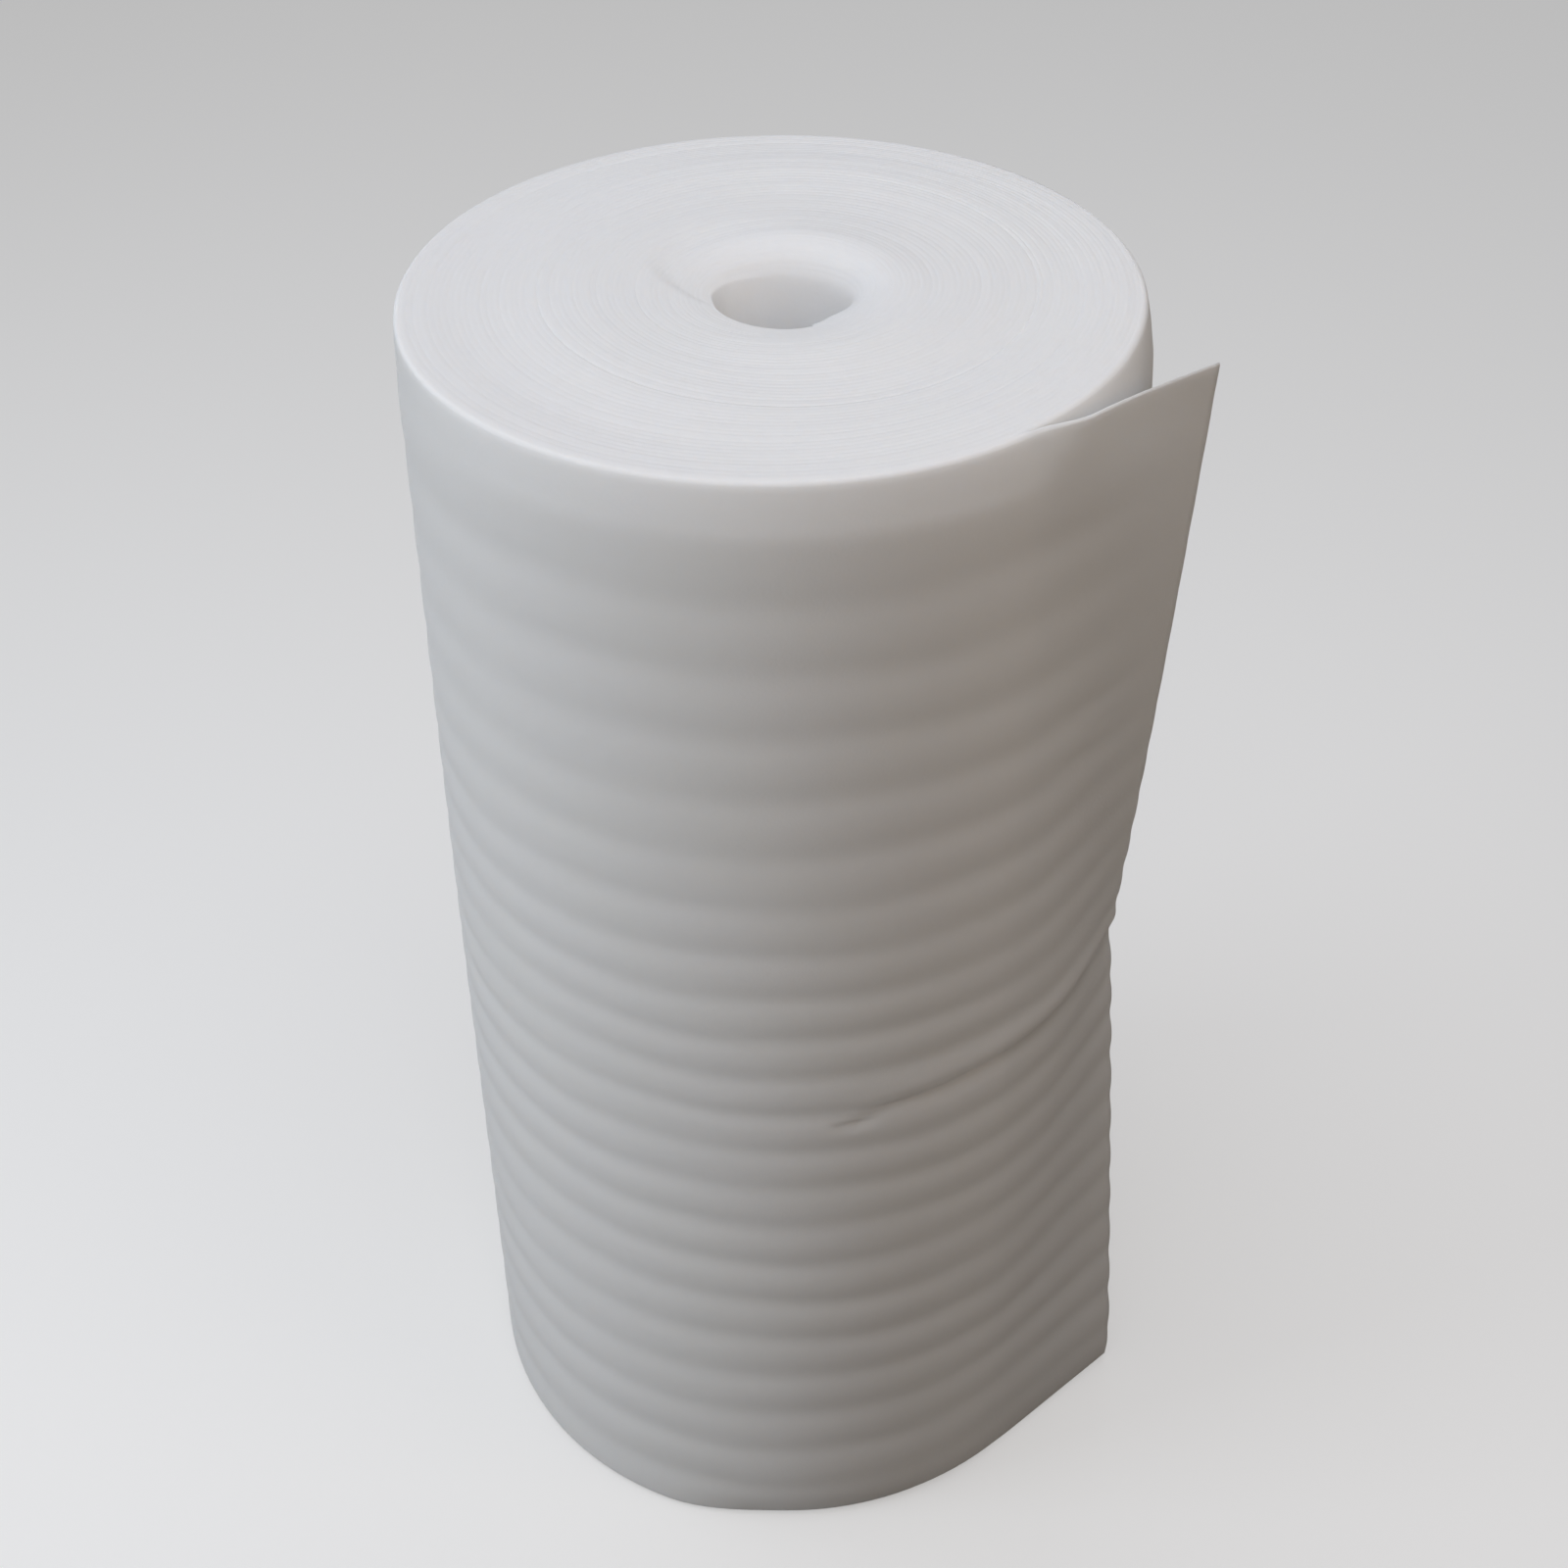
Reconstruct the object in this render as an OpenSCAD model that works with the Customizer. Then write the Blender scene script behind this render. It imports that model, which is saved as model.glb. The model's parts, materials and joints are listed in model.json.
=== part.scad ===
/* [Roll] */
// Width of the foam sheet, which is the height of the standing roll
web_width = 1000; // [700:10:1400]
// Diameter of the roll under its last turn
roll_d = 508; // [360:4:560]
// Thickness of the foam sheet, and so the pitch of the spiral
sheet_t = 4; // [3.5:0.5:6]
// Diameter of the open core hole
core_d = 76; // [60:1:110]

/* [Ends] */
// Radius of the rounded outer rim at both ends
rim_r = 6; // [3:0.5:10]
// Width of the gap between the edges of two turns
gap_w = 0.8; // [0.5:0.1:1.2]
// Depth of that gap on the upper face
gap_d = 1.4; // [0.6:0.1:2.5]
// Depth of that gap on the lower face
foot_gap_d = 0.8; // [0.4:0.1:1.5]
// The weight closes gaps on the lower face, so that one shows every so many turns
foot_gap_every = 3; // [2:1:8]
// Depth of the dished middle of the upper face, at the core hole
dish_d = 12; // [4:1:25]
// Width of the dish, from the core hole outwards
dish_w = 48; // [30:1:80]

/* [Ribs] */
// Depth of the valleys between the ribs round the wall
rib_d = 2; // [1:0.25:5]
// Distance from rib to rib beside the crease, where they lie closest
rib_pitch = 39; // [30:1:55]
// Distance from the crease at which that distance has doubled
rib_spread = 724; // [500:1:1200]
// Height over which the ribs fade out at each end
rib_fade = 30; // [10:1:60]

/* [Free end] */
// Direction in which the last turn ends and the free end starts, seen from above
flap_turn = -51.5; // [-180:0.5:180]
// Length of the free end, measured along the sheet
flap_len = 160; // [150:1:220]
// How much of it still follows the wall at the top
held_top = 4; // [3:1:60]
// How much of it still follows the wall at the foot
held_foot = 8; // [3:1:60]
// How much of it still follows the wall at the crease
held_crease = 120; // [70:1:130]
// How fast it opens above and below the crease, less is faster
open_power = 0.6; // [0.4:0.05:1]
// Height of the crease above the foot
crease_z = 474; // [350:1:600]
// Distance of the free end's upper corner below the upper face
flap_top_gap = 7; // [4:0.5:20]

/* [Crease] */
// Angle over which the crease runs back round the wall from the free end
crease_arc = 27; // [10:1:60]
// Depth of the crease
crease_d = 3; // [1:0.5:3.5]
// Width of the crease at the wall
crease_w = 5; // [3:0.5:8]

/* [Hidden] */
$fn = 144;

core_r = core_d / 2;
wall_r = roll_d / 2;
// Whole turns of the sheet round the core hole
turns = floor((wall_r - core_r) / sheet_t);

// Cuts run past the faces they open by this much
over = 1;
// The free end lies this far off the turn below it
lap = 0.4;
// Samples along each rib, and round the rim
rib_steps = 6;
rim_steps = 4;
// Above 1 the rib valleys are narrower than the crests
rib_sharp = 1.6;
// Least distance of a rib sample from an edge
rib_margin = 1;
// Widest step of the free end where it follows the wall, in degrees
lap_step = 4.5;
// Steps of the stretch that stands away from the wall
free_steps = 3;
// Length over which the free end's upper and lower edges leave the rounded rim
edge_run = 40;
// Gap under the free end's lower edge
foot_gap = 0.5;
// Share of the ribs that is left at the upper corner of the free end
rib_left = 0.3;

function clamp(x) = max(0, min(1, x));
function ease(x) = let (c = clamp(x)) c * c * (3 - 2 * c);

// Ribs: their pitch grows as the square of the height above or below the crease,
// so rib number k lies at a tangent of k, and valley 0 is the crease
rib_deg = rib_pitch / rib_spread * 180 / PI;
function rib_z(k) = crease_z + rib_spread * tan(k * rib_deg);
function rib_k(z) = atan((z - crease_z) / rib_spread) / rib_deg;
function rib_end(z) = clamp(min(z - rim_r, web_width - rim_r - z) / rib_fade);
function rib_in(k) = rib_d * rib_end(rib_z(k)) * pow(0.5 + 0.5 * cos(360 * k), rib_sharp);
rib_first = ceil(rib_k(rim_r + rib_margin) * rib_steps);
rib_last = floor(rib_k(web_width - rim_r - rib_margin) * rib_steps);
rib_ks = [for (j = [rib_first:rib_last]) j / rib_steps];

// Upper and lower face: the rim falls away on a circle, the middle on a parabola
function rim_fall(q) = q < rim_r ? rim_r - sqrt(rim_r * rim_r - (rim_r - q) * (rim_r - q)) : 0;
function dish(r) = dish_d * pow(clamp(1 - (r - core_r) / dish_w), 2);

// The rim's arc ends where the last turn's flat edge starts
rim_deg = acos(1 - min(rim_r, sheet_t - gap_w / 2) / rim_r) * 0.9;
rim_turns = [for (i = [0:rim_steps]) i * rim_deg / rim_steps];

// Section of one half of the winding: every turn ends in a flat edge, and a narrow gap
// parts it from the next. reach is the radius of the wall.
function gap_points(r, deep) = [
    [r + gap_w / 2, 0],
    [r + gap_w / 2, deep],
    [r - gap_w / 2, deep],
    [r - gap_w / 2, 0]
];
function upper_points(reach) = [
    for (i = [1:turns - 1])
        for (p = gap_points(reach - i * sheet_t, gap_d))
            [p[0], web_width - p[1] - rim_fall(reach - p[0]) - dish(p[0])]
];
function lower_points(reach) = [
    for (i = [1:foot_gap_every:turns - 1])
        for (p = gap_points(reach - i * sheet_t, foot_gap_d))
            [p[0], p[1] + rim_fall(reach - p[0])]
];
function wall_points(reach) = [for (k = rib_ks) [reach - rib_in(k), rib_z(k)]];
function rim_points(reach, z, side) = [
    for (a = rim_turns)
        [reach - rim_r + rim_r * cos(a), z - side * (rim_r - rim_r * sin(a))]
];
function flip(v) = [for (i = [len(v) - 1:-1:0]) v[i]];

module winding_section(reach) {
    polygon(concat(
        [[0, web_width - dish_d], [0, 0]],
        flip(lower_points(reach)),
        flip(rim_points(reach, 0, -1)),
        wall_points(reach),
        rim_points(reach, web_width, 1),
        upper_points(reach)
    ));
}

// Two half turns of revolution make a spiral: the second half's axis lies half a sheet
// to the side and its section half a sheet further out, so the halves meet flush
// on one side and a whole sheet apart on the other
module turns_of_sheet() {
    rotate_extrude(angle = 180)
        winding_section(wall_r);
    translate([sheet_t / 2, 0, 0])
        rotate([0, 0, 180])
            rotate_extrude(angle = 180)
                winding_section(wall_r + sheet_t / 2);
}

// The crease pinches the last turn, back from where the free end starts
module crease_cut() {
    reach = wall_r + sheet_t / 2;
    translate([sheet_t / 2, 0, 0])
        rotate([0, 0, -crease_arc - 1])
            rotate_extrude(angle = crease_arc)
                polygon([
                    [reach - rib_d + over, crease_z + crease_w / 2],
                    [reach - rib_d - crease_d, crease_z],
                    [reach - rib_d + over, crease_z - crease_w / 2],
                    [reach + over, crease_z - crease_w],
                    [reach + over, crease_z + crease_w]
                ]);
}

module winding() {
    color("whitesmoke")
        rotate([0, 0, flap_turn])
            difference() {
                turns_of_sheet();
                crease_cut();
                translate([0, 0, -over])
                    cylinder(r = core_r, h = web_width + 2 * over);
            }
}

// Free end: at each height it follows the wall for a while and then runs straight on.
// The straight stretch is shortest at the crease and grows above and below it.
// It meets the last turn on that turn's end face.
flap_low = rim_r + foot_gap;
flap_high = web_width - max(rim_r + foot_gap, flap_top_gap);
function held_at(z) = let (
        above = z > crease_z,
        held_end = above ? held_top : held_foot,
        reach = above ? web_width - crease_z : crease_z
    )
    held_crease + (held_end - held_crease) * pow(abs(z - crease_z) / reach, open_power);

lap_steps = ceil(held_crease / wall_r * 180 / PI / lap_step);
cols = lap_steps + free_steps;
function run_at(col, z) =
    col <= lap_steps ? held_at(z) * col / lap_steps
    : held_at(z) + (flap_len - held_at(z)) * (col - lap_steps) / free_steps;

function rib_kept(s, z) =
    let (out = (s - held_at(z)) / (flap_len - held_top), up = (z - crease_z) / (web_width - crease_z))
    1 - (1 - rib_left) * ease(out * 1.5) * ease(up * 2);

// Point at run s along the sheet and height z, raised by h off the turn below
function flap_point(s, z, h) = let (
        held = min(s, held_at(z)),
        a = held / wall_r * 180 / PI,
        r = wall_r + h
    )
    [r * cos(a) - (s - held) * sin(a), r * sin(a) + (s - held) * cos(a), z];

// Rows of the free end: its lower edge, every rib sample, its upper edge
flap_ks = [
    for (k = rib_ks)
        if (rib_z(k) > flap_low + rib_margin && rib_z(k) < flap_high - rib_margin) k
];
rows = len(flap_ks) + 2;
function row_z(row, s) =
    row == 0 ? flap_low - (flap_low - foot_gap) * ease(s / edge_run)
    : row == rows - 1 ? flap_high
    : rib_z(flap_ks[row - 1]);
function row_rib(row) =
    row == 0 ? rib_in(rib_k(flap_low))
    : row == rows - 1 ? rib_in(rib_k(flap_high))
    : rib_in(flap_ks[row - 1]);

function flap_side(skin) = [
    for (row = [0:rows - 1])
        for (col = [0:cols])
            let (z0 = row_z(row, 0), s = run_at(col, z0))
            flap_point(s, row_z(row, s), skin - row_rib(row) * rib_kept(s, z0))
];

module free_end() {
    wide = cols + 1;
    count = rows * wide;
    quads = [
        for (row = [0:rows - 2])
            for (col = [0:cols - 1])
                let (a = row * wide + col)
                [a, a + 1, a + wide + 1, a + wide]
    ];
    outer = [for (q = quads) each [[q[2], q[1], q[0]], [q[3], q[2], q[0]]]];
    inner = [for (q = quads) each [[q[0], q[1], q[2]] + [count, count, count],
                                   [q[0], q[2], q[3]] + [count, count, count]]];
    foot_loop = [for (col = [0:cols]) col];
    end_loop = [for (row = [1:rows - 1]) row * wide + cols];
    top_loop = [for (col = [cols - 1:-1:0]) (rows - 1) * wide + col];
    root_loop = [for (row = [rows - 2:-1:1]) row * wide];
    loop = concat(foot_loop, end_loop, top_loop, root_loop);
    edge = [
        for (i = [0:len(loop) - 1])
            let (a = loop[i], b = loop[(i + 1) % len(loop)])
            each [[a, b, b + count], [a, b + count, a + count]]
    ];
    color("white")
        rotate([0, 0, flap_turn])
            polyhedron(
                points = concat(flap_side(sheet_t), flap_side(lap)),
                faces = concat(outer, inner, edge)
            );
}

winding();
free_end();
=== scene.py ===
"""Foam wrap roll: one sheet of white closed-cell foam wound on itself and stood on end.

All lengths are metres. The roll is one closed skin. Its parts are worked out with numpy as
whole arrays on grids: the wall with the free end of the sheet, the two end faces that
follow the spiral of the winding, and the wall of the core hole.
"""
import json
import math

import bmesh
import bpy
import numpy as np
from mathutils import Matrix, Vector


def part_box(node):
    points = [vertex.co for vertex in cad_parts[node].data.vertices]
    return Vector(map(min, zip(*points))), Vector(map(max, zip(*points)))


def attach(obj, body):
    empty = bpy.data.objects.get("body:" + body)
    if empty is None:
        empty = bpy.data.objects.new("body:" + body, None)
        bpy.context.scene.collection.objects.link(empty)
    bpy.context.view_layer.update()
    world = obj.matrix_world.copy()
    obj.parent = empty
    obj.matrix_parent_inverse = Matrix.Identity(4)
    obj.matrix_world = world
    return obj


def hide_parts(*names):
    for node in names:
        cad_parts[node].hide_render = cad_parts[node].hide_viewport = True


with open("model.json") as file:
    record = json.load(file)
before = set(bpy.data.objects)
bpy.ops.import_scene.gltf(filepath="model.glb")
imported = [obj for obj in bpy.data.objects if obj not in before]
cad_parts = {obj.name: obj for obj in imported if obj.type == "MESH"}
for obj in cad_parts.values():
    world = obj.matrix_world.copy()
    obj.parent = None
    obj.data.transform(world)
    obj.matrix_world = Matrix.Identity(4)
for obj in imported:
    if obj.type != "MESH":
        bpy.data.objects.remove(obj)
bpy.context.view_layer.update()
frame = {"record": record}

# The winding, as in the frame. Directions are seen from above, from the right towards the back.
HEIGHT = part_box("winding")[1][2]
core_mount = next(m for m in frame["record"]["mounts"] if m["name"] == "core_hole")
CORE_R = core_mount["dims"]["r_mm"] / 1000
SHEET = 0.004
TURNS = 54
WALL_R = CORE_R + TURNS * SHEET
SHEET_ENDS_AT = math.radians(-51.5)

# Rounded rims: the full one, the one above and where the free end starts
RIM = 0.006
RIM_ABOVE = 0.0035
RIM_BY_FLAP = 0.0022
RIM_GROWS_OVER = math.radians(28)
RIM_TURNS = np.radians([52.0, 38.0, 24.0, 10.0])
RIM_END_INSET = 0.38

# The wall leans in at the top, and is pressed in at the foot from CRUSH_LEFT to CRUSH_RIGHT,
# both in degrees from the front
SHOULDER = 0.0105
SHOULDER_HEIGHT = 0.034
SHOULDER_TO = math.radians(-70)
SHOULDER_POWER = 1.15
SHOULDER_ROWS = np.array([1.0, 0.86, 0.72, 0.58, 0.45, 0.32, 0.2])
CRUSH = 0.0085
CRUSH_HEIGHT = 0.055
CRUSH_LEFT = -24
CRUSH_GROWS_OVER = 22
CRUSH_RIGHT = 22
CRUSH_EASES_OVER = 40
CRUSH_EASES_BY = 0.55

# Gaps between the turns: half the width as a share of the sheet, and the depth
GAP_EDGE = 0.16
GAP_DEPTH = 0.00018
GAP_DEPTH_LOOSE = 0.0004
LOOSE_TURN = 33

# Upper face and the mouth of the hole
FACE_SINK = 0.0009
LOOSE_SINK = 0.0004
DISH = 0.0112
DISH_WIDTH = 0.052
DISH_TO = math.radians(62)
DISH_TILT = 0.68
FLARE = 0.022
FLARE_HEIGHT = 0.075
FLARE_REACH = 0.09
FLARE_TO = math.radians(75)
OFF_CENTRE = 0.018
OFF_CENTRE_TO = math.radians(60)
SWIRL = 0.0046
SWIRL_WIDTH = 0.026
SWIRL_DEGREES = [60, 100, 130, 148, 158, 166, 180, 200]
SWIRL_RADII = [0.085, 0.112, 0.106, 0.095, 0.080, 0.064, 0.044, 0.030]

# Core hole: the lip at its mouth, and how far below the mouth each row of samples lies
LIP = 0.0010
LIP_HEIGHT = 0.004
LIP_DROP = 0.0006
HOLE_ROWS = np.array([0.0, 0.0012, 0.003, 0.006, 0.011, 0.018, 0.026, 0.035, 0.046, 0.06, 0.075,
                      0.2, 0.4, 0.6, 0.8, 0.93])

# Ribs round the wall
RIB_DEPTH = 0.0012
RIB_PITCH = 0.0391
RIB_SPREAD = 0.724
RIB_DRIFT = 0.0045
RIB_DRIFT_OVER = 11.3
RIB_SHARP = 1.5
RIB_FADE = 0.03

# Free end of the sheet
FLAP = 0.160
HELD_TOP = 0.004
HELD_FOOT = 0.008
HELD_CREASE = 0.120
FOLD_Z = 0.489
FOLD_ROUND = 0.010
OPEN_POWER = 0.6
LAP = 0.0005
TIP_DROP = 0.006
TIP_DROPS_FROM = 0.06
TIP_RISE = 0.005
TIP_RISES_FROM = 0.05
TIP_POWER = 1.5
THINS_BY = 0.35
ROUND_EDGE = 0.0003

# The crease: the rib valley that it lies in, its height where the free end starts, and its
# slopes before and after that
CREASE_Z = 0.474
CREASE_LEVEL = 0.4870
CREASE_SLOPE_WALL = 0.075
CREASE_SLOPE_FLAP = 0.05
CREASE_HOOK = 0.010
HOOK_FROM = -0.100
HOOK_OVER = 0.022
CREASE_BACK = math.radians(27.5)
CREASE_DEPTH = 0.0036
CREASE_SHALLOWS = 0.0010
CREASE_STEP = 0.0055
CREASE_TAIL = 0.011
CREASE_SWELL = 0.0011
SWELL_ABOVE = 0.012
SWELL_WIDTH = 0.008
DENT = 0.0034
DENT_WIDTH = 0.0035
DENT_Z = CREASE_Z - 0.0075
INSIDE_SHARE = 0.22

# Short wrinkles on the free end: run, height, slope, and half the length and the width
WRINKLE = 0.0008
WRINKLES = (
    (0.070, 0.768, -0.22, 0.034, 0.0022),
    (0.060, 0.728, -0.10, 0.026, 0.0018),
    (0.092, 0.742, -0.30, 0.022, 0.0016),
    (0.078, 0.690, -0.12, 0.018, 0.0016),
)

# Samples. The rows beside the crease stand in for the even ones from CREASE_Z less
# ROWS_CLEAR_BELOW to CREASE_Z plus ROWS_CLEAR_ABOVE.
ROUND = 144
FLAP_COLUMNS = 34
ROWS_PER_RIB = 9
CREASE_ROWS = np.arange(-9, 24, 1.2) / 1000
ROWS_CLEAR_BELOW = 0.011
ROWS_CLEAR_ABOVE = 0.0255
SHARP_EDGE = math.radians(50)


def ease(x):
    """A ramp from 0 to 1 with level ends: three x squared less two x cubed, held outside."""
    x = np.clip(x, 0.0, 1.0)
    return x * x * (3.0 - 2.0 * x)


def bump(x, centre, width):
    """A bell of height 1: e to the minus square of the distance in widths."""
    return np.exp(-(((x - centre) / width) ** 2))


def ripple(*waves):
    """A sum of sines, each given as (height, phase), the same on every run."""
    return sum(height * np.sin(phase) for height, phase in waves)


class Skin:
    """Collects points and quads of one closed surface by index."""

    def __init__(self):
        self.points = []
        self.quads = []
        self.count = 0

    def add(self, points):
        """Stores an array of points, last axis x, y, z, and returns their indices in its shape."""
        shape = points.shape[:-1]
        self.points.append(points.reshape(-1, 3))
        index = self.count + np.arange(int(np.prod(shape))).reshape(shape)
        self.count += index.size
        return index

    def weave(self, grid):
        """Adds a quad between each four neighbours of an index grid."""
        self.quads.append(np.stack(
            [grid[:-1, :-1], grid[:-1, 1:], grid[1:, 1:], grid[1:, :-1]], axis=-1).reshape(-1, 4))

    def mesh(self, name):
        """Makes the mesh, with its faces turned outwards."""
        data = bpy.data.meshes.new(name)
        points = np.concatenate(self.points)
        quads = np.concatenate(self.quads)
        data.vertices.add(len(points))
        data.vertices.foreach_set("co", points.ravel())
        data.loops.add(quads.size)
        data.loops.foreach_set("vertex_index", quads.ravel())
        data.polygons.add(len(quads))
        data.polygons.foreach_set("loop_start", np.arange(0, quads.size, 4))
        data.update(calc_edges=True)
        data.validate()
        work = bmesh.new()
        work.from_mesh(data)
        bmesh.ops.recalc_face_normals(work, faces=work.faces)
        if work.calc_volume(signed=True) < 0:
            bmesh.ops.reverse_faces(work, faces=work.faces)
        work.to_mesh(data)
        work.free()
        return data


def spiral(step):
    """Inner radius and direction of the sheet at a step along the winding, ROUND steps a turn.

    Half of each turn keeps its radius and the other half grows by one sheet, as a cosine.
    """
    turn = np.floor(step / ROUND)
    part = step / ROUND - turn
    grown = np.where(part > 0.5, 0.5 + 0.5 * np.cos(2 * np.pi * part), 0.0)
    return CORE_R + SHEET * (turn + grown), SHEET_ENDS_AT + 2 * np.pi * part


def rib_heights():
    """Numbers and heights of the rib valleys: the crease is valley 0, the others lie at a tangent
    of their number, and a slow cosine moves them up or down a little.
    """
    number = np.arange(-12, 14)
    even = CREASE_Z + RIB_SPREAD * np.tan(number * RIB_PITCH / RIB_SPREAD)
    drift = np.cos(2 * np.pi * (number + 7) / RIB_DRIFT_OVER) - 0.72
    return number, even - RIB_DRIFT * drift


def rib_depth(z, around):
    """How far the wall lies below the rib crests: a cosine to a power, deepest at each valley.

    The valleys sway, fade out at both ends and are shallower higher up.
    """
    number, height = rib_heights()
    sway = ripple((0.0016, 2 * around + 9 * z), (0.0011, 5 * around + 31 * z),
                  (0.0007, 11 * around + 17 * z))
    phase = np.interp(z + sway, height, number)
    ends = np.clip(np.minimum(z, HEIGHT - z) / RIB_FADE, 0, 1)
    uneven = 1 + ripple((0.16, 3 * around + 23 * z), (0.12, 7 * around + 41 * z))
    by_height = 1.15 - 0.45 * ease((z - 0.35) / 0.5)
    wave = (0.5 + 0.5 * np.cos(2 * np.pi * phase)) ** RIB_SHARP
    return RIB_DEPTH * ends * uneven * by_height * wave


def held(z):
    """Length of the free end that still follows the wall: longest at the fold, and less by a
    power of the distance above or below it.
    """
    above = z > FOLD_Z
    end = np.where(above, HELD_TOP, HELD_FOOT)
    reach = np.where(above, HEIGHT - FOLD_Z, FOLD_Z)
    away = np.hypot(z - FOLD_Z, FOLD_ROUND) / reach
    return HELD_CREASE + (end - HELD_CREASE) * np.clip(away, 0, 1) ** OPEN_POWER


def crease_height(along):
    """Height of the crease at a run along the sheet from where the free end starts.

    It rises along one slope on the wall and another on the free end, and hooks down where it
    begins.
    """
    on_wall = CREASE_SLOPE_WALL * np.minimum(along, 0)
    on_flap = CREASE_SLOPE_FLAP * np.maximum(along, 0)
    return CREASE_LEVEL + on_wall + on_flap - CREASE_HOOK * ease((HOOK_FROM - along) / HOOK_OVER)


def creases(along, z):
    """The crease, a dent where it begins and the short wrinkles, as height above the sheet.

    The crease steps in sharply on its upper side and comes back slowly below, as an
    exponential of the distance. A low bell-shaped swell runs along above it.
    """
    start = -CREASE_BACK * WALL_R
    line = crease_height(along)
    below = line - z
    grow = ease((along - start) / 0.012) * (0.45 + 0.55 * ease((along - start) / 0.16))
    steep = ease((below + 0.0038) / CREASE_STEP)
    slow = np.exp(-np.clip(below - 0.001, 0, None) / CREASE_TAIL)
    deep = CREASE_DEPTH - CREASE_SHALLOWS * ease((along - 0.02) / 0.08)
    total = -deep * grow * steep * slow
    total = total + CREASE_SWELL * grow * bump(z, line + SWELL_ABOVE, SWELL_WIDTH)
    total = total - DENT * bump(along, start, DENT_WIDTH) * bump(z, DENT_Z, DENT_WIDTH)
    for run, height, slope, length, width in WRINKLES:
        across = bump(z, height + slope * (along - run), width)
        total = total - WRINKLE * bump(along, run, length) * across
    return total


def wall_grid(heights):
    """The roll's wall: one turn of the spiral, less the ribs, with round rims.

    Columns are steps along the last turn, and heights holds the level rows between the rims.
    """
    step = TURNS * ROUND + np.arange(ROUND + 1)
    radius, around = spiral(step)
    around[-1] = around[0] + 2 * np.pi
    radius[-1] = WALL_R + SHEET
    along = (around - around[-1]) * WALL_R
    grown = ease((around - SHEET_ENDS_AT) / RIM_GROWS_OVER)
    rim = RIM_BY_FLAP + (RIM - RIM_BY_FLAP) * grown
    rim_above = RIM_BY_FLAP + (RIM_ABOVE - RIM_BY_FLAP) * grown
    z, inset = edge_rows(heights, rim, rim_above, np.full_like(rim, HEIGHT), np.zeros_like(rim))
    depth = rib_depth(z, around) - creases(along, z)
    r = radius + soft_shape(around, z) - lean(around, z) - depth - inset
    return np.stack([r * np.cos(around), r * np.sin(around), z], axis=-1)


def edge_rows(heights, foot_rim, top_rim, top, foot):
    """Heights of all rows and how far each is set in.

    They are a quarter round at the foot, the level rows, and a quarter round at the top.
    """
    turn = RIM_TURNS[:, None]
    low_z = foot + foot_rim * (1 - np.sin(turn))
    low_in = foot_rim * (1 - np.cos(turn))
    high_z = top - top_rim * (1 - np.sin(turn[::-1]))
    high_in = top_rim * (1 - np.cos(turn[::-1]))
    mid = foot + heights[:, None] / HEIGHT * (top - foot)
    z = np.concatenate([low_z, mid, high_z])
    inset = np.concatenate([low_in, np.zeros_like(mid), high_in])
    return z, inset


def crush(around):
    """How far the roll's weight has pressed in the lower rim: a ramp up just left of the front
    and a ramp down to under half on the right.
    """
    from_front = np.degrees(np.angle(np.exp(1j * (around + math.pi / 2))))
    grown = ease((from_front - CRUSH_LEFT) / CRUSH_GROWS_OVER)
    eased = ease((from_front - CRUSH_RIGHT) / CRUSH_EASES_OVER)
    return CRUSH * grown * (1 - CRUSH_EASES_BY * eased)


def lean(around, z):
    """The shoulder at one height: it starts below the upper face and grows by a power upwards."""
    return shoulder(around) * np.clip(1 - (HEIGHT - z) / SHOULDER_HEIGHT, 0, 1) ** SHOULDER_POWER


def shoulder(around):
    """How far the wall leans in at its upper end: an eased cosine of the direction, most of all
    in front and to the right.
    """
    return SHOULDER * (0.14 + 0.86 * ease(0.30 + 0.68 * np.cos(around - SHOULDER_TO)))


def soft_shape(around, z):
    """Slow swells of the soft wall, a millimetre or so, and the pressed lower rim."""
    pressed = crush(around) * np.clip(1 - z / CRUSH_HEIGHT, 0, 1) ** 2
    return ripple((0.0007, 2 * around + 1.1 + 2.3 * z), (0.0005, 3 * around - 4.1 * z),
                  (0.0003, 5 * around + 7.7 * z)) - pressed


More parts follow.
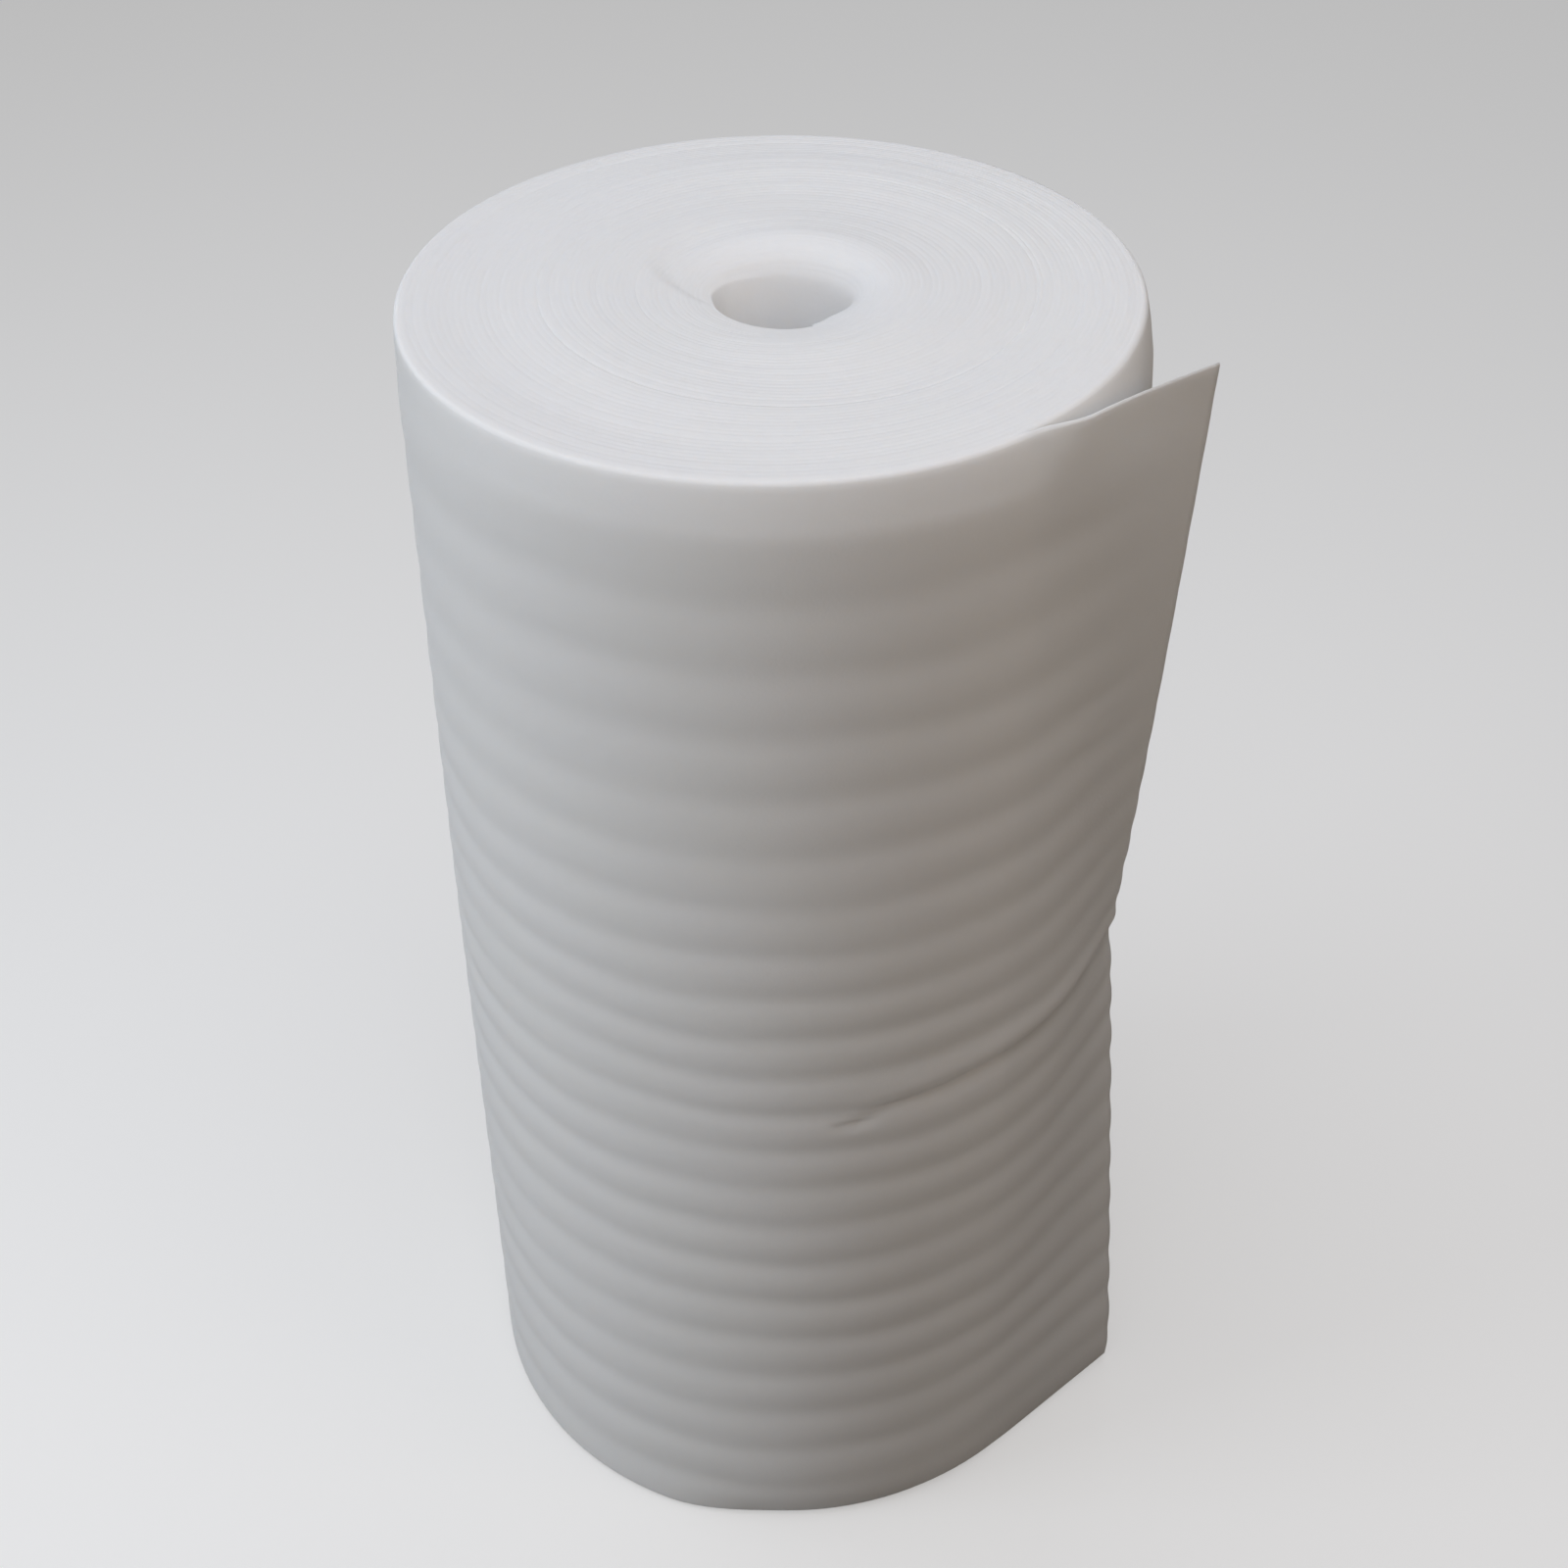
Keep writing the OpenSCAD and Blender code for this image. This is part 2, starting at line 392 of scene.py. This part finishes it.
def flap_grid(along, through, heights):
    """The free end: at each height it follows the wall for a while, then runs straight on.

    along is the run from where it starts and through the place in its thickness, 0 inside and
    1 outside, both one value per column. The corners of its edge lift and drop as a power of
    the run.
    """
    dropped = np.clip((along - TIP_DROPS_FROM) / (FLAP - TIP_DROPS_FROM), 0, 1) ** TIP_POWER
    risen = np.clip((along - TIP_RISES_FROM) / (FLAP - TIP_RISES_FROM), 0, 1) ** TIP_POWER
    top = HEIGHT - TIP_DROP * dropped
    foot = 0.0006 * ease(along / 0.03) + TIP_RISE * risen
    outer = through > 0.5
    thinner = ease(along / 0.04)
    rim = np.where(outer, RIM - (RIM - RIM_BY_FLAP) * thinner, RIM_BY_FLAP)
    rim_above = np.where(outer, RIM_ABOVE - (RIM_ABOVE - RIM_BY_FLAP) * thinner, RIM_BY_FLAP)
    z, inset = edge_rows(heights, rim, rim_above, top, foot)
    bound = np.minimum(along, held(z))
    free = along - bound
    around = SHEET_ENDS_AT + bound / WALL_R
    up = ease((z - CREASE_Z) / (HEIGHT - CREASE_Z) * 2)
    ribs = rib_depth(z, around + free / WALL_R) * (1 - 0.7 * ease(free / 0.10) * up)
    marks = creases(along, z) * np.where(outer, 1.0, INSIDE_SHARE)
    gap = LAP * ease(along / 0.012) * (1 - through)
    shape = soft_shape(around, z) - lean(around, z) * (1 - ease(along / 0.045))
    sheet = SHEET * (1 - THINS_BY * ease(along / 0.12))
    raised = gap + through * sheet + np.where(outer, -inset, inset) - ribs + marks + shape
    r = WALL_R + raised
    x = r * np.cos(around) - free * np.sin(around)
    y = r * np.sin(around) + free * np.cos(around)
    return np.stack([x, y, z], axis=-1)


def level_rows():
    """Row heights between the rims: even samples along each rib, closer ones beside the crease
    and the shoulder's own.
    """
    number, height = rib_heights()
    fine = np.interp(np.arange(number[0], number[-1], 1 / ROWS_PER_RIB), number, height)
    fine = fine[(fine > RIM * 1.2) & (fine < HEIGHT - RIM * 1.2)]
    fine = fine[(fine < CREASE_Z - ROWS_CLEAR_BELOW) | (fine > CREASE_Z + ROWS_CLEAR_ABOVE)]
    fine = fine[fine < HEIGHT - SHOULDER_HEIGHT - 0.003]
    near = CREASE_Z + CREASE_ROWS
    return np.sort(np.concatenate([fine, near, HEIGHT - SHOULDER_HEIGHT * SHOULDER_ROWS]))


def flare(around):
    """How far the hole opens out at its mouth: an eased cosine of the direction, wide behind and
    to the right, and nothing in front.
    """
    return FLARE * ease(0.22 + 0.95 * np.cos(around - FLARE_TO))


def off_centre(r, around):
    """The turns lie off centre between the hole and the wall: a sine of the way out."""
    way = np.clip((r - CORE_R) / (WALL_R - CORE_R), 0, 1)
    return r + OFF_CENTRE * np.sin(np.pi * way) * np.cos(around - OFF_CENTRE_TO)


def swirl(r, around):
    """A soft step behind and to the left of the hole, which runs in to the hole's left edge.

    The face is lower inside a curve, given as radii at directions, by a ramp across it.
    """
    angle = np.degrees(np.mod(around, 2 * np.pi))
    edge = np.interp(angle, SWIRL_DEGREES, SWIRL_RADII)
    along = ease((angle - 70) / 70) * ease((205 - angle) / 30)
    return SWIRL * along * ease((edge - r) / SWIRL_WIDTH + 0.5)


def upper_height(r, tight, around, step):
    """Upper face: the dish falls away as a square towards the hole, each turn a little uneven.

    r is where a turn lies and tight where it would lie if the hole did not open out.
    """
    turn = step / ROUND
    inwards = np.clip(1 - (tight - CORE_R) / DISH_WIDTH, 0, 1)
    dish = DISH * (1 + DISH_TILT * np.cos(around - DISH_TO)) * inwards ** 2
    dish = dish + swirl(r, around)
    swell = ripple((0.0010, around + 0.16 * turn), (0.0007, 2 * around - 0.23 * turn + 1.0))
    uneven = ripple((0.00008, 2.39 * turn), (0.00005, 4.1 * turn + 2.0),
                    (0.00004, 7.3 * turn + around))
    loose = LOOSE_SINK * ease((LOOSE_TURN - turn) * 1.2 + 0.5)
    inner = ease((WALL_R - r) / 0.05)
    return HEIGHT - dish - loose + inner * (swell - FACE_SINK) + uneven


def gap_depth(step, edge):
    """Depth of the gap between two turns, deeper by a bell where the winding is loose."""
    turn = step / ROUND
    loose = bump(turn, LOOSE_TURN, 0.35) * GAP_DEPTH_LOOSE
    uneven = 1 + ripple((0.25, 1.7 * turn), (0.2, 3.3 * turn + 1.0))
    return np.where(edge, GAP_DEPTH * uneven + loose, 0.0)


def rim_fall(distance, rim):
    """How far the face has fallen at a distance inside the wall: a quarter round."""
    inside = np.clip(rim - distance, 0, rim)
    return rim - np.sqrt(rim ** 2 - inside ** 2)


def face_grid(upper, rim_row, hole_row, flap_strip, skin):
    """One end face, as strips that follow the spiral of the winding.

    Each step of the spiral has the bottom of a gap and the two edges of the turn's flat,
    and the gap outside it is the inside gap of the step one turn further on. rim_row and
    hole_row are the indices and points of the rows that the face meets, and flap_strip the
    indices of the free end's inside edge, its outside edge and the two rows between.
    """
    last = TURNS * ROUND
    step = np.arange(last + ROUND + 1)
    radius, around = spiral(step)
    radius = off_centre(radius, around)
    tight = radius
    if upper:
        radius = radius + flare(around) * np.clip(1 - (radius - CORE_R) / FLARE_REACH, 0, 1) ** 2
        radius = radius - shoulder(around) * ease((radius - WALL_R / 2) / (WALL_R / 2))
    else:
        radius = radius - crush(around) * ease((radius - WALL_R / 2) / (WALL_R / 2))
    rim_xy = rim_row[1]
    hole_xy = hole_row[1]
    radius[last:] = np.hypot(rim_xy[:, 0], rim_xy[:, 1])
    radius[:ROUND + 1] = np.hypot(hole_xy[:ROUND + 1, 0], hole_xy[:ROUND + 1, 1])
    inner, outer = radius[:last + 1], radius[ROUND:]
    column = step[:last + 1] % ROUND
    wall_here = np.hypot(rim_xy[:, 0], rim_xy[:, 1])[column]
    wall_here[-1] = np.hypot(*rim_xy[-1, :2])
    full = RIM_ABOVE if upper else RIM
    rim_here = RIM_BY_FLAP + (full - RIM_BY_FLAP) * ease(column / ROUND * 2 * np.pi / RIM_GROWS_OVER)
    rim_here[-1] = full
    strips = []
    for share in (0.0, GAP_EDGE, 1 - GAP_EDGE):
        r = inner + share * (outer - inner)
        angle = around[:last + 1]
        fall = rim_fall(wall_here - r + rim_here * RIM_END_INSET, rim_here)
        gap = gap_depth(step[:last + 1], share == 0.0)
        if upper:
            plain = tight[:last + 1] + share * (tight[ROUND:] - tight[:last + 1])
            z = upper_height(r, plain, angle, step[:last + 1] + share * ROUND) - gap - fall
        else:
            z = 0.6 * gap + fall
        strips.append(np.stack([r * np.cos(angle), r * np.sin(angle), z], axis=-1))
    gaps = np.concatenate([
        hole_row[0][:ROUND + 1], skin.add(strips[0][ROUND + 1:last]), rim_row[0]])
    first = np.concatenate([hole_row[0][ROUND + 2:ROUND + 3], skin.add(strips[1][1:])])
    second = np.concatenate([hole_row[0][ROUND + 1:ROUND + 2], skin.add(strips[2][1:])])
    skin.weave(np.stack([gaps[:last + 1], first, second, gaps[ROUND:]]))
    inside, outside, between = flap_strip
    skin.weave(np.stack([
        np.concatenate([gaps[last:last + 1], inside]),
        np.concatenate([first[-1:], between[0]]),
        np.concatenate([second[-1:], between[1]]),
        np.concatenate([gaps[-1:], outside]),
    ]))


def hole_grid():
    """Wall of the core hole with the inner end of the sheet.

    Columns are steps along the first turn. The mouth opens out as a square of the height,
    with a rounded lip where it doesn't.
    """
    step = np.arange(ROUND + 1)
    radius, around = spiral(step)
    around[-1] = around[0] + 2 * np.pi
    radius[-1] = CORE_R + SHEET
    radius = np.concatenate([radius, CORE_R + SHEET * np.array([1 - GAP_EDGE, GAP_EDGE])])
    around = np.concatenate([around, around[:1], around[:1]])
    down = HOLE_ROWS[:, None]
    lip = LIP * np.clip(1 - down / LIP_HEIGHT, 0, 1) ** 2
    crisp = 1 - flare(around) / FLARE
    end = np.zeros(len(radius))
    end[:ROUND + 1] = 1.0
    end[ROUND] = 0.6
    r = radius + lip * end * crisp
    r = r + flare(around) * np.clip(1 - down / FLARE_HEIGHT, 0, 1) ** 2
    top = upper_height(r[0], radius, around, np.zeros(len(radius))) - LIP_DROP * crisp
    z = np.concatenate([top - down, np.zeros((1, len(radius)))])
    r = np.concatenate([r, radius[None, :]])
    swell = ripple((0.0008, 2 * around + 9 * z), (0.0005, 3 * around - 21 * z)) * ease((top - z) / 0.02)
    r = r + np.abs(swell) * ease(z / 0.02)
    return np.stack([r * np.cos(around), r * np.sin(around), z], axis=-1)


def foam_roll():
    """The whole roll as one closed mesh.

    The wall, the free end's outside, its edge and its inside make one band round the roll. The
    hole's wall makes another, and the two end faces join them.
    """
    skin = Skin()
    heights = level_rows()
    wall = wall_grid(heights)
    run = FLAP * (np.arange(1, FLAP_COLUMNS + 1) / FLAP_COLUMNS) ** 1.15
    outer = flap_grid(run, np.ones_like(run), heights)
    inner = flap_grid(run, np.zeros_like(run), heights)
    end = flap_grid(np.full(2, FLAP + ROUND_EDGE), np.array([1 - GAP_EDGE, GAP_EDGE]), heights)
    wall_i = skin.add(wall)
    outer_i = skin.add(outer)
    end_i = skin.add(end)
    inner_i = skin.add(inner)
    skin.weave(np.concatenate([wall_i, outer_i, end_i, inner_i[:, ::-1], wall_i[:, :1]], axis=1))
    hole = hole_grid()
    hole_i = skin.add(hole)
    skin.weave(np.concatenate([hole_i, hole_i[:, :1]], axis=1))
    for upper in (True, False):
        row = -1 if upper else 0
        hole_row = 0 if upper else -1
        sides = []
        for place in (GAP_EDGE, 1 - GAP_EDGE):
            between = inner[row, :-1] + place * (outer[row, :-1] - inner[row, :-1])
            between[:, 2] += ROUND_EDGE if upper else -ROUND_EDGE
            sides.append(skin.add(between))
        between = (np.concatenate([sides[0], end_i[row, 1:2]]),
                   np.concatenate([sides[1], end_i[row, 0:1]]))
        face_grid(upper, (wall_i[row], wall[row]), (hole_i[hole_row], hole[hole_row]),
                  (inner_i[row], outer_i[row], between), skin)
    return skin.mesh("foam_roll_skin")


# Materials
FOAM_SHADE = (0.90, 0.90, 0.89, 1)
FOAM_WHITE = (0.945, 0.945, 0.94, 1)
CELLS_TO_GRAIN = 0.6


def node_tree(name):
    """A new material, its node tree and its Principled shader."""
    material = bpy.data.materials.new(name)
    material.use_nodes = True
    tree = material.node_tree
    return material, tree, tree.nodes["Principled BSDF"]


def set_values(node, **values):
    """Sets inputs of a node by name, with an underscore for each space."""
    for name, value in values.items():
        node.inputs[name.replace("_", " ")].default_value = value


def foam_material():
    """White closed-cell foam: matt, slightly see-through, with fine cells and faint clouds."""
    material, tree, shader = node_tree("white_foam")
    add, join = tree.nodes.new, tree.links.new
    place = add("ShaderNodeTexCoord")
    clouds = add("ShaderNodeTexNoise")
    set_values(clouds, Scale=9.0, Detail=4.0, Roughness=0.55)
    cells = add("ShaderNodeTexVoronoi")
    cells.feature = "SMOOTH_F1"
    set_values(cells, Scale=420.0, Smoothness=0.6, Randomness=1.0)
    grain = add("ShaderNodeTexNoise")
    set_values(grain, Scale=160.0, Detail=3.0, Roughness=0.6)
    for texture in (clouds, cells, grain):
        join(place.outputs["Object"], texture.inputs["Vector"])
    tint = add("ShaderNodeMix")
    tint.data_type = "RGBA"
    tint.inputs[6].default_value = FOAM_SHADE
    tint.inputs[7].default_value = FOAM_WHITE
    join(clouds.outputs["Fac"], tint.inputs["Factor"])
    join(tint.outputs[2], shader.inputs["Base Color"])
    height = add("ShaderNodeMath")
    height.operation = "MULTIPLY_ADD"
    height.inputs[1].default_value = CELLS_TO_GRAIN
    join(cells.outputs["Distance"], height.inputs[0])
    join(grain.outputs["Fac"], height.inputs[2])
    relief = add("ShaderNodeBump")
    set_values(relief, Strength=0.25, Distance=0.0004)
    join(height.outputs["Value"], relief.inputs["Height"])
    join(relief.outputs["Normal"], shader.inputs["Normal"])
    set_values(shader, Roughness=0.62, Subsurface_Weight=1.0, Subsurface_Scale=0.004,
               Subsurface_Radius=(1.0, 0.96, 0.92), Sheen_Weight=0.15, Sheen_Roughness=0.6)
    shader.inputs["Specular IOR Level"].default_value = 0.15
    return material


# The roll
roll = bpy.data.objects.new("foam_wrap_roll", foam_roll())
bpy.context.collection.objects.link(roll)
roll.data.polygons.foreach_set("use_smooth", np.ones(len(roll.data.polygons), dtype=bool))
roll.data.set_sharp_from_angle(angle=SHARP_EDGE)
roll.data.materials.append(foam_material())
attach(roll, "root")
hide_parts("winding", "free_end")

# Floor, light and camera
FLOOR_SIZE = 80.0
FLOOR_LIT = (0.13, 0.115, 0.10, 1)
FLOOR_SEEN = (0.56, 0.56, 0.56, 1)
FLOOR_GLOW = 0.41
ROOM_LIGHT = (1, 0.88, 0.76, 1)
ROOM_STRENGTH = 0.05
ROOM_SEEN = (0.44, 0.44, 0.44, 1)


def seen_ray(tree):
    """1 for a ray from the camera, mirrored or through glass, and 0 for one that only lights."""
    path = tree.nodes.new("ShaderNodeLightPath")
    seen = path.outputs["Is Camera Ray"]
    for kind in ("Is Glossy Ray", "Is Transmission Ray"):
        either = tree.nodes.new("ShaderNodeMath")
        either.operation = "MAXIMUM"
        tree.links.new(seen, either.inputs[0])
        tree.links.new(path.outputs[kind], either.inputs[1])
        seen = either.outputs["Value"]
    return seen


def floor_material():
    """Pale floor: it is seen evenly lit, and the roll gets little light back from it."""
    material, tree, shader = node_tree("pale_floor")
    add, join = tree.nodes.new, tree.links.new
    set_values(shader, Base_Color=FLOOR_LIT, Roughness=0.9)
    seen = add("ShaderNodeBsdfDiffuse")
    set_values(seen, Color=FLOOR_SEEN)
    even = add("ShaderNodeEmission")
    set_values(even, Color=(1, 1, 1, 1), Strength=FLOOR_GLOW)
    both = add("ShaderNodeAddShader")
    join(seen.outputs["BSDF"], both.inputs[0])
    join(even.outputs["Emission"], both.inputs[1])
    choose = add("ShaderNodeMixShader")
    join(seen_ray(tree), choose.inputs["Fac"])
    join(shader.outputs["BSDF"], choose.inputs[1])
    join(both.outputs["Shader"], choose.inputs[2])
    join(choose.outputs["Shader"], tree.nodes["Material Output"].inputs["Surface"])
    return material


def pale_room():
    """World: it is seen as a pale grey wall, and lights the roll only a little, warmly."""
    world = bpy.data.worlds.new("pale_room")
    world.use_nodes = True
    tree = world.node_tree
    add, join = tree.nodes.new, tree.links.new
    light = tree.nodes["Background"]
    set_values(light, Color=ROOM_LIGHT, Strength=ROOM_STRENGTH)
    wall = add("ShaderNodeBackground")
    set_values(wall, Color=ROOM_SEEN, Strength=1.0)
    choose = add("ShaderNodeMixShader")
    join(seen_ray(tree), choose.inputs["Fac"])
    join(light.outputs["Background"], choose.inputs[1])
    join(wall.outputs["Background"], choose.inputs[2])
    join(choose.outputs["Shader"], tree.nodes["World Output"].inputs["Surface"])
    return world


bpy.ops.mesh.primitive_plane_add(size=FLOOR_SIZE, location=(0, 0, 0))
floor = bpy.context.object
floor.name = "floor"
floor.data.materials.append(floor_material())


def softbox(name, place, target, size, power, colour):
    """A square area lamp that points at a target."""
    data = bpy.data.lights.new(name, "AREA")
    data.shape = "SQUARE"
    data.size = size
    data.energy = power
    data.color = colour
    lamp = bpy.data.objects.new(name, data)
    lamp.location = place
    lamp.rotation_euler = (Vector(target) - Vector(place)).to_track_quat("-Z", "Y").to_euler()
    bpy.context.collection.objects.link(lamp)


softbox("overhead", (-0.2, -0.1, 3.4), (0, 0, 0.5), 2.6, 54, (0.90, 0.93, 1.0))
softbox("window_left", (-3.0, -0.9, 0.95), (0, 0, 0.4), 1.4, 37, (0.88, 0.94, 1.0))
softbox("front_fill", (0.2, -2.5, 1.7), (0, 0, 0.5), 1.2, 8.2, (1.0, 0.93, 0.87))
softbox("right_fill", (1.5, -0.9, 1.9), (0.1, -0.1, 0.9), 0.9, 3.5, (1.0, 0.74, 0.48))
bpy.context.scene.world = pale_room()

# The camera stands where the photograph's outline puts it, for a frame of 1600 by 1600
FRAME_PIXELS = 1600
FOCAL_PIXELS = 2508.5
CENTRE_X_PIXELS = 797.3
PITCH = math.radians(38.16)
ROLL = math.radians(-0.909)
CAMERA_PLACE = (0, -1.4909, 1.7525)
SENSOR_MILLIMETRES = 36.0
camera = bpy.data.objects.new("camera", bpy.data.cameras.new("camera"))
camera.data.sensor_width = SENSOR_MILLIMETRES
camera.data.lens = SENSOR_MILLIMETRES * FOCAL_PIXELS / FRAME_PIXELS
camera.data.shift_x = 0.5 - CENTRE_X_PIXELS / FRAME_PIXELS
camera.matrix_world = (Matrix.Translation(CAMERA_PLACE)
                       @ Matrix.Rotation(math.pi / 2 - PITCH, 4, "X") @ Matrix.Rotation(ROLL, 4, "Z"))
bpy.context.collection.objects.link(camera)
bpy.context.scene.camera = camera
bpy.context.scene.view_settings.view_transform = "Standard"
